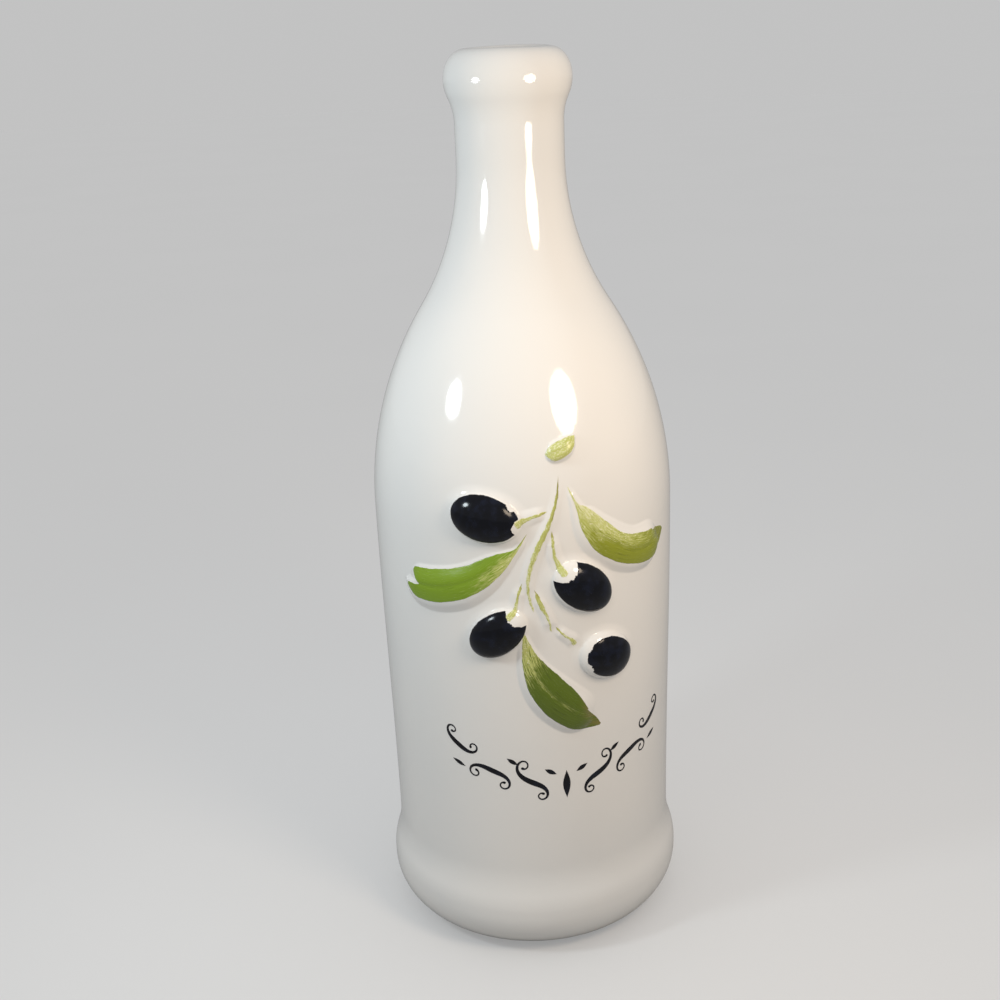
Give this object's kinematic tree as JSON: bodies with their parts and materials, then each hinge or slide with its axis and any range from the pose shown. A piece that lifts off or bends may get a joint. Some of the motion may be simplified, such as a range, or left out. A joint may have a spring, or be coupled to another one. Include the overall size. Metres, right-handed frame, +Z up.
{
  "type": "ceramic olive oil bottle",
  "caption": "White glazed ceramic oil bottle with a slim open neck, a beaded lip, a flared foot and a painted olive sprig in relief on its front.",
  "frame": {"origin": "centre of the foot, on the plane the bottle stands on", "axes": "+Z up along the bottle's axis of turning; the sprig faces -Y; +X is to the right of someone who faces the sprig"},
  "size_m": [0.0968, 0.0988, 0.28],
  "materials": {
    "white_glaze": "gloss",
    "black_enamel": "gloss",
    "green_enamel": "gloss"
  },
  "bodies": {
    "root": {"bottle": "white_glaze"}
  },
  "joints": []
}
